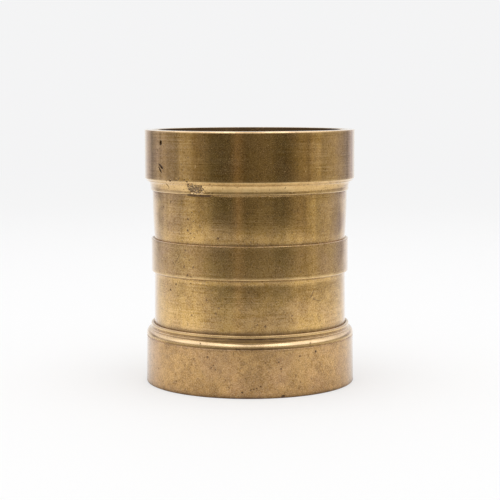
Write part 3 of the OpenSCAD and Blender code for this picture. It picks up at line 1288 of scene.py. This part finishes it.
def dullness(tree, entry, cloud, mottle, speckle):
    cloudy = calc(tree, "MULTIPLY", cloud, CLOUD_SHARE)
    tarnish = calc(tree, "MULTIPLY_ADD", mottle, MOTTLE_SHARE, cloudy)
    middle = calc(tree, "MULTIPLY_ADD", entry["Brown Share"], -BROWN_PULL, TARNISH_MIDDLE)
    tarnish = fade(tree, calc(tree, "SUBTRACT", tarnish, middle), -TARNISH_SOFT, TARNISH_SOFT)
    grain = calc(tree, "MULTIPLY", swing_of(tree, speckle), entry["Grain"])
    return fade(tree, calc(tree, "MULTIPLY_ADD", grain, GRAIN_SWING, tarnish), 0, 1)


def rose_share(tree, entry, spot):
    rosy = noise(tree, shifted(tree, spot, ROSE_SHIFT), in_a_metre(ROSE_CLOUD), detail=3)
    return calc(tree, "MULTIPLY", fade(tree, rosy, ROSE_FROM, ROSE_TO), entry["Rose Share"])


def pepper_share(tree, entry, spot, mottle):
    dots = noise(tree, shifted(tree, spot, PEPPER_SHIFT), in_a_metre(PEPPER), detail=2)
    dots = fade(tree, dots, PEPPER_FROM, PEPPER_TO)
    pepper = calc(tree, "MULTIPLY", dots, fade(tree, mottle, PEPPERED_FROM, PEPPERED_TO))
    return calc(tree, "MULTIPLY", pepper, entry["Pepper"])


def dusted(tree, entry, spot, skin):
    dust = noise(tree, shifted(tree, spot, DUST_SHIFT), in_a_metre(DUST), detail=1)
    swing = calc(tree, "MULTIPLY", swing_of(tree, dust), entry["Grain"])
    return vector(tree, "ADD", skin, vector(tree, "SCALE", DUST_SWING, Scale=swing))


def patina():
    results = {"Color": "Color", "Dullness": "Float", "Height": "Float"}
    tree, entry, leave = new_group("patina", PATINA_INPUTS, results)
    spot = object_place(tree)
    cloud, mottle, speckle = [
        noise(tree, spot, in_a_metre(size), detail)
        for size, detail in ((CLOUD, 4), (MOTTLE, 4), (SPECKLE, 2))
    ]
    dull = dullness(tree, entry, cloud, mottle, speckle)
    skin = blend(tree, dull, entry["Bright"], entry["Brown"])
    skin = blend(tree, rose_share(tree, entry, spot), skin, entry["Rose"])
    skin = blend(tree, pepper_share(tree, entry, spot, mottle), skin, PEPPER_BROWN)
    skin = dusted(tree, entry, spot, skin)
    plug(tree, leave, {"Color": skin, "Dullness": dull, "Height": speckle})
    return tree


patina_group = patina()
print(patina_group.name, "ready")

# %% [markdown]
# `pin holes` are the pits too small to model, each a dark dot. A Voronoi pattern has one dot in
# each cell, and a random number per cell leaves most of the dots out, so they lie unevenly.
# Another random number per cell sets how large its dot is.

# %% The pin holes
HOLE_SMALLEST, HOLE_SWING, HOLE_CORE = 0.4, 0.8, 0.35


def pin_holes():
    tree, entry, leave = new_group(
        "pin holes", {"Cells per m": 850.0, "Size": 0.17, "Share": 0.3}, {"Mask": "Float"}
    )
    spots = {"Vector": object_place(tree), "Scale": entry["Cells per m"]}
    cells = add_node(tree, "TexVoronoi", spots).outputs
    drawn = add_node(tree, "SeparateColor", {0: cells["Color"]}).outputs
    kept = calc(tree, "LESS_THAN", drawn[0], entry["Share"])
    size = calc(tree, "MULTIPLY_ADD", drawn[1], HOLE_SWING, HOLE_SMALLEST)
    size = calc(tree, "MULTIPLY", size, entry["Size"])
    dot = fade(tree, calc(tree, "DIVIDE", cells["Distance"], size), 1, HOLE_CORE)
    plug(tree, leave, {"Mask": calc(tree, "MULTIPLY", dot, kept)})
    return tree


holes_group = pin_holes()
print(holes_group.name, "ready")

# %% [markdown]
# `fine scratches` are short, thin and go all ways. Where a stretched noise crosses its middle value
# it draws a hair-thin line, and a second, turned copy crosses the first. A wide noise keeps them to
# some patches.

# %% The fine scratches
SCRATCH_TURNS = [(0.5, 0.3, 0.2), (-0.9, 0.6, 1.4)]
SCRATCH_FROM, SCRATCH_TO = 0.014, 0.003
SCRATCH_PATCH, PATCH_FROM, PATCH_TO = 25 / 3, 0.5, 0.68


def scratch_line(tree, entry, spot, turn_by):
    turned = add_node(tree, "Mapping", {"Vector": spot, "Rotation": turn_by}).outputs[0]
    length, width = entry["Length per m"], entry["Width per m"]
    shape = add_node(tree, "CombineXYZ", {"X": length, "Y": length, "Z": width}).outputs[0]
    streaks = noise(tree, vector(tree, "MULTIPLY", turned, shape), scale=1, detail=1)
    off_middle = calc(tree, "ABSOLUTE", swing_of(tree, streaks))
    return fade(tree, off_middle, SCRATCH_FROM, SCRATCH_TO)


def fine_scratches():
    inputs = {"Length per m": 90.0, "Width per m": 1500.0, "Share": 0.5}
    tree, entry, leave = new_group("fine scratches", inputs, {"Mask": "Float"})
    spot = object_place(tree)
    lines = [scratch_line(tree, entry, spot, turn_by) for turn_by in SCRATCH_TURNS]
    patch = noise(tree, spot, in_a_metre(SCRATCH_PATCH), detail=2)
    patch = calc(tree, "MULTIPLY", fade(tree, patch, PATCH_FROM, PATCH_TO), entry["Share"])
    found = calc(tree, "MAXIMUM", *lines)
    plug(tree, leave, {"Mask": calc(tree, "MULTIPLY", found, patch)})
    return tree


scratch_group = fine_scratches()
print(scratch_group.name, "ready")

# %% [markdown]
# ## The brass itself
#
# Each brass finish places those groups with its own amounts, and reads the attributes that were
# painted on the pieces. The rest is masks that change over the surface: how rough the casting is,
# broken into crumbs by a noise, how thick the dirt and painted shade lie, and how brightly the metal
# is rubbed or lit by a painted reflection.

# %% What a finish is made of
CRUMB = 0.55
CRUMB_SWING, CRUMB_SHIFT = 3.4, -1.95
CRUMB_FROM, CRUMB_TO, FLAW_BORDER = 0.2, 0.9, 0.35
GRIME_AND_SHADE_LEAST, GRIME_AND_SHADE_SWING = 0.85, 0.2
RUBBED_AND_SHEEN_LEAST, RUBBED_AND_SHEEN_SWING = 0.5, 0.5


def told(tree, title):
    return add_node(tree, "Attribute", attribute_name=title).outputs["Fac"]


def flaw_mask(tree, crumble):
    whole = told(tree, "flaw")
    crumbs = calc(tree, "MULTIPLY_ADD", crumble, CRUMB_SWING, CRUMB_SHIFT)
    broken = fade(tree, calc(tree, "ADD", whole, crumbs), CRUMB_FROM, CRUMB_TO)
    return calc(tree, "MULTIPLY", broken, fade(tree, whole, 0, FLAW_BORDER))


# How thick dirt and painted shade lie, together with the dark pin holes.
def grime_and_shade_mask(tree, dull, holes, hole_dark):
    grime_and_shade = calc(tree, "MULTIPLY_ADD", dull, GRIME_AND_SHADE_SWING, GRIME_AND_SHADE_LEAST)
    grime_and_shade = calc(tree, "MULTIPLY", told(tree, "dirt"), grime_and_shade)
    return calc(tree, "MAXIMUM", grime_and_shade, calc(tree, "MULTIPLY", holes, hole_dark))


# Rubbed metal, and also the painted reflection on the cove.
def rubbed_and_sheen_mask(tree, dull):
    share = calc(tree, "SUBTRACT", 1, dull)
    share = calc(tree, "MULTIPLY_ADD", share, RUBBED_AND_SHEEN_SWING, RUBBED_AND_SHEEN_LEAST)
    return calc(tree, "MULTIPLY", told(tree, "worn"), share)


def effects(tree, colours, amounts):
    bright, brown, rose = colours
    values = {"Bright": bright, "Brown": brown, "Rose": rose}
    for title in ("Brown Share", "Rose Share", "Grain", "Pepper"):
        values[title] = amounts[title.lower().replace(" ", "_")]
    skin = add_node(tree, "Group", values, node_tree=patina_group).outputs
    dull = skin["Dullness"]
    holes = add_node(tree, "Group", {"Share": amounts["holes"]}, node_tree=holes_group).outputs[0]
    marks = add_node(tree, "Group", {"Share": amounts["scratches"]}, node_tree=scratch_group)
    rings = add_node(tree, "Group", node_tree=lines_group).outputs[0]
    crumble = noise(tree, object_place(tree), in_a_metre(CRUMB), detail=4)
    return {
        "skin": skin["Color"], "dull": dull, "grain": skin["Height"], "holes": holes,
        "scratches": marks.outputs[0], "rings": rings, "crumble": crumble,
        "flaw": flaw_mask(tree, crumble), "rubbed_and_sheen": rubbed_and_sheen_mask(tree, dull),
        "grime_and_shade": grime_and_shade_mask(tree, dull, holes, amounts["hole_dark"]),
        "inside": told(tree, "inside"),
    }


print("masks ready")

# %% [markdown]
# The colour is laid on in the order in which the years did it. First comes the patina, with faint
# streaks along the lathe lines that come and go in patches. Inside the vessel a deep brown covers it,
# partly tarnish and partly painted shade. Where cloths have rubbed the metal it shines through again,
# and on the cove the same bright colour is a painted reflection. Scratches, the crust of the flaw and
# the dark of dirt and painted shade lie on top.

# %% The colour of the brass
# Dark brown for dirt, and for painted shade in the hollows and on the foot's lowest edge.
DIRT_AND_SHADE_BROWN = (0.085, 0.04, 0.011, 1.0)
# Worn gold, for rubbed edges and also for the painted reflection on the cove.
WORN_AND_SHEEN_GOLD = (0.90, 0.625, 0.285, 1.0)
FLAW_DARK, FLAW_PALE = (0.06, 0.033, 0.018, 1.0), (0.31, 0.2, 0.12, 1.0)
# The inside colour is partly tarnish and partly painted shade; the mouth keeps it fully.
INSIDE_TARNISH_AND_SHADE = (0.085, 0.05, 0.02, 1.0)
STREAK = (0.75, 0.6, 0.4)
STREAK_PATCH, STREAKED_FROM, STREAKED_TO = 9, 0.42, 0.58
SCRATCH_BROWN = 0.3
CRUST_COVER, CRUST_FROM, CRUST_TO = 0.8, 0.53, 0.68


def streaked(tree, skin, rings, streak):
    lined = calc(tree, "MULTIPLY", swing_of(tree, rings), streak)
    patchy = noise(tree, object_place(tree), in_a_metre(STREAK_PATCH), detail=2)
    lined = calc(tree, "MULTIPLY", lined, fade(tree, patchy, STREAKED_FROM, STREAKED_TO))
    return vector(tree, "ADD", skin, vector(tree, "SCALE", STREAK, Scale=lined))


def brass_colour(tree, on, brown, streak):
    colour = streaked(tree, on["skin"], on["rings"], streak)
    colour = blend(tree, on["inside"], colour, INSIDE_TARNISH_AND_SHADE)
    colour = blend(tree, on["rubbed_and_sheen"], colour, WORN_AND_SHEEN_GOLD)
    colour = blend(tree, calc(tree, "MULTIPLY", on["scratches"], SCRATCH_BROWN), colour, brown)
    pale = fade(tree, on["crumble"], CRUST_FROM, CRUST_TO)
    crust = blend(tree, pale, FLAW_DARK, FLAW_PALE)
    colour = blend(tree, calc(tree, "MULTIPLY", on["flaw"], CRUST_COVER), colour, crust)
    return blend(tree, on["grime_and_shade"], colour, DIRT_AND_SHADE_BROWN)


print("colours ready")

# %% [markdown]
# Dirt and painted shade, the crust and the unpolished inside are rougher than the skin, and dirt,
# painted shade and crust are less of a metal. The heights are in millimetres: the lathe lines and
# the grain stand up by a few thousandths, holes and scratches go in, and the crust is a quarter of a
# millimetre thick.

# %% Roughness, metal and height
GRIME_AND_SHADE_ROUGH, FLAW_ROUGH, INSIDE_ROUGH = 0.35, 0.35, 0.25
GRIME_AND_SHADE_METAL, FLAW_METAL = 0.6, 0.5
HOLE_DEPTH, SCRATCH_DEPTH, CRUST_HEIGHT = 0.004, 0.0015, 0.25


def brass_roughness(tree, on, rough, dull_rough):
    rough = calc(tree, "MULTIPLY_ADD", on["dull"], dull_rough, rough)
    rough = calc(tree, "MULTIPLY_ADD", on["grime_and_shade"], GRIME_AND_SHADE_ROUGH, rough)
    rough = calc(tree, "MULTIPLY_ADD", on["flaw"], FLAW_ROUGH, rough)
    return calc(tree, "MULTIPLY_ADD", on["inside"], INSIDE_ROUGH, rough)


def brass_metal(tree, on):
    metal = calc(tree, "SUBTRACT", 1, calc(tree, "MULTIPLY", on["grime_and_shade"], GRIME_AND_SHADE_METAL))
    return calc(tree, "SUBTRACT", metal, calc(tree, "MULTIPLY", on["flaw"], FLAW_METAL))


def brass_normal(tree, on, line_height, grain_height):
    height = calc(tree, "MULTIPLY", on["rings"], line_height)
    height = calc(tree, "MULTIPLY_ADD", on["grain"], grain_height, height)
    height = calc(tree, "MULTIPLY_ADD", on["holes"], -HOLE_DEPTH, height)
    height = calc(tree, "MULTIPLY_ADD", on["scratches"], -SCRATCH_DEPTH, height)
    crust = calc(tree, "MULTIPLY", on["flaw"], on["crumble"])
    height = calc(tree, "MULTIPLY_ADD", crust, CRUST_HEIGHT, height)
    return add_node(tree, "Bump", {"Height": height, "Strength": 1, "Distance": MM}).outputs[0]


print("roughness and heights ready")

# %% [markdown]
# Brass is a metal with a warm reflection, so Metallic stays near 1 and drops only where dirt,
# painted shade or crust covers it. The lathe has combed the surface, so it is smoother round the
# vessel than up and down: reflections keep sharp upright edges and blur in height, which Anisotropic
# gives. A thin clear coat stands for the film of wax and handling that turns the outer edges pale at
# a glancing angle. It is missing on dirt and painted shade, on the crust and inside.

# %% The brass shader
ANISOTROPY, COMBED_ROUND = 0.5, 0.25
COAT, COAT_ROUGH = 0.8, 0.1


def coat_weight(tree, on):
    bare = calc(tree, "MAXIMUM", calc(tree, "MAXIMUM", on["grime_and_shade"], on["flaw"]), on["inside"])
    return calc(tree, "MULTIPLY", calc(tree, "SUBTRACT", 1, bare), COAT)


def brass(name, *colours, **special):
    amounts = {**USUAL, **special}
    material, tree = new_material(name)
    on = effects(tree, colours, amounts)
    looks = {
        "Base Color": brass_colour(tree, on, colours[1], amounts["streak"]),
        "Roughness": brass_roughness(tree, on, amounts["rough"], amounts["dull_rough"]),
        "Metallic": brass_metal(tree, on),
        "Normal": brass_normal(tree, on, amounts["line_height"], amounts["grain_height"]),
        "Anisotropic": ANISOTROPY, "Anisotropic Rotation": COMBED_ROUND,
        "Coat Weight": coat_weight(tree, on), "Coat Roughness": COAT_ROUGH,
    }
    plug(tree, tree.nodes["Principled BSDF"], looks)
    print(name, "made")
    return material


print("brass with a coat of", COAT)

# %% [markdown]
# `USUAL` has the amounts that most finishes share, and each finish names only what differs. Its
# three colours are the bright metal, the tarnish and the pink. The collar and the walls are the
# smoothest. The foot is browner and duller, the moulding has the cleanest metal, and no one has ever
# polished the plate.

# %% The brass finishes
ROSE = (0.68, 0.425, 0.215, 1.0)
USUAL = {
    "brown_share": 0.5, "rose_share": 0.35, "grain": 1.0, "holes": 0.35, "hole_dark": 0.6,
    "scratches": 0.6, "pepper": 0.4, "rough": 0.085, "dull_rough": 0.05,
    "line_height": 0.003, "grain_height": 0.003, "streak": 0.15,
}

finishes = {
    "wall_brass": brass(
        "wall brass", (0.77, 0.485, 0.16, 1), (0.60, 0.365, 0.115, 1), ROSE,
        pepper=0.45, streak=0.7,
    ),
    "collar_brass": brass(
        "collar brass", (0.74, 0.46, 0.145, 1), (0.60, 0.36, 0.11, 1), ROSE,
        grain=0.85, grain_height=0.002, streak=0.85,
    ),
    "band_brass": brass(
        "band brass", (0.70, 0.445, 0.155, 1), (0.55, 0.335, 0.115, 1), ROSE,
        rose_share=0.5, scratches=0.7, rough=0.12, dull_rough=0.07,
        line_height=0.0025, grain_height=0.004, streak=0.3,
    ),
    "moulding_brass": brass(
        "moulding brass", (0.80, 0.52, 0.19, 1), (0.64, 0.40, 0.135, 1), ROSE,
        brown_share=0.4, rose_share=0.2, grain=0.7, holes=0.12, hole_dark=0.4, scratches=0.3,
        pepper=0.2, rough=0.13, dull_rough=0.06, line_height=0.001,
    ),
    "foot_brass": brass(
        "foot brass", (0.66, 0.40, 0.148, 1), (0.465, 0.272, 0.10, 1), (0.61, 0.365, 0.175, 1),
        brown_share=0.45, rose_share=0.55, grain=0.85, scratches=0.4, rough=0.17,
        dull_rough=0.09, line_height=0.0012, grain_height=0.005,
    ),
    "plate_brass": brass(
        "plate brass", (0.46, 0.30, 0.12, 1), (0.30, 0.185, 0.075, 1), (0.4, 0.26, 0.15, 1),
        brown_share=0.6, rose_share=0.4, grain=0.8, holes=0.2, hole_dark=0.5, rough=0.26,
        dull_rough=0.16, line_height=0.0025, grain_height=0.006, streak=0.3,
    ),
}
print("brass finishes:", ", ".join(finishes))

# %% [markdown]
# Old soft solder is a dull grey metal with brown stains, uneven where the iron pulled it along. The
# bumps are slow and long, because it set from a liquid.

# %% The solder finish
SOLDER_GREY, SOLDER_STAIN = (0.42, 0.40, 0.37, 1.0), (0.16, 0.12, 0.08, 1.0)
SOLDER_WAVE, SOLDER_WAVE_HEIGHT = 20 / 7, 0.15
STAIN_SIZE, STAIN_FROM, STAIN_TO = 6.25, 0.45, 0.62
SOLDER_SMOOTH, STAIN_ROUGH = 0.38, 0.6
SOLDER_METAL = 0.9

solder_material, tree = new_material("soft solder")
spot = object_place(tree)
pulled = noise(tree, spot, in_a_metre(SOLDER_WAVE), detail=3)
stained = noise(tree, spot, in_a_metre(STAIN_SIZE), detail=5)
stained = fade(tree, stained, STAIN_FROM, STAIN_TO)
relief = {"Height": pulled, "Strength": 1, "Distance": SOLDER_WAVE_HEIGHT * MM}
looks = {
    "Base Color": blend(tree, stained, SOLDER_GREY, SOLDER_STAIN),
    "Roughness": fade(tree, stained, 0, 1, SOLDER_SMOOTH, STAIN_ROUGH),
    "Metallic": SOLDER_METAL, "Normal": add_node(tree, "Bump", relief).outputs[0],
}
plug(tree, tree.nodes["Principled BSDF"], looks)
finishes["solder"] = solder_material
print("solder made")

# %% [markdown]
# ## Dressing the model
#
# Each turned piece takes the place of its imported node: the node is hidden and stays for the physics,
# and the piece rides on the same rigid body. Nothing on a measure moves, so there is only one.

# %% Dress the nodes
PIECES = [
    (barrel, "barrel", "wall_brass"), (collar, "rim_collar", "collar_brass"),
    (belt, "middle_band", "band_brass"), (moulding, "base_moulding", "moulding_brass"),
    (foot, "foot_ring", "foot_brass"), (plate, "bottom_plate", "plate_brass"),
    (solder, "solder_fillet", "solder"),
]
for piece, node, slot in PIECES:
    piece.data.materials.clear()
    piece.data.materials.append(finishes[slot])
    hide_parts(node)
    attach(piece, "root")
    print(piece.name, "stands for", node, "in", slot)
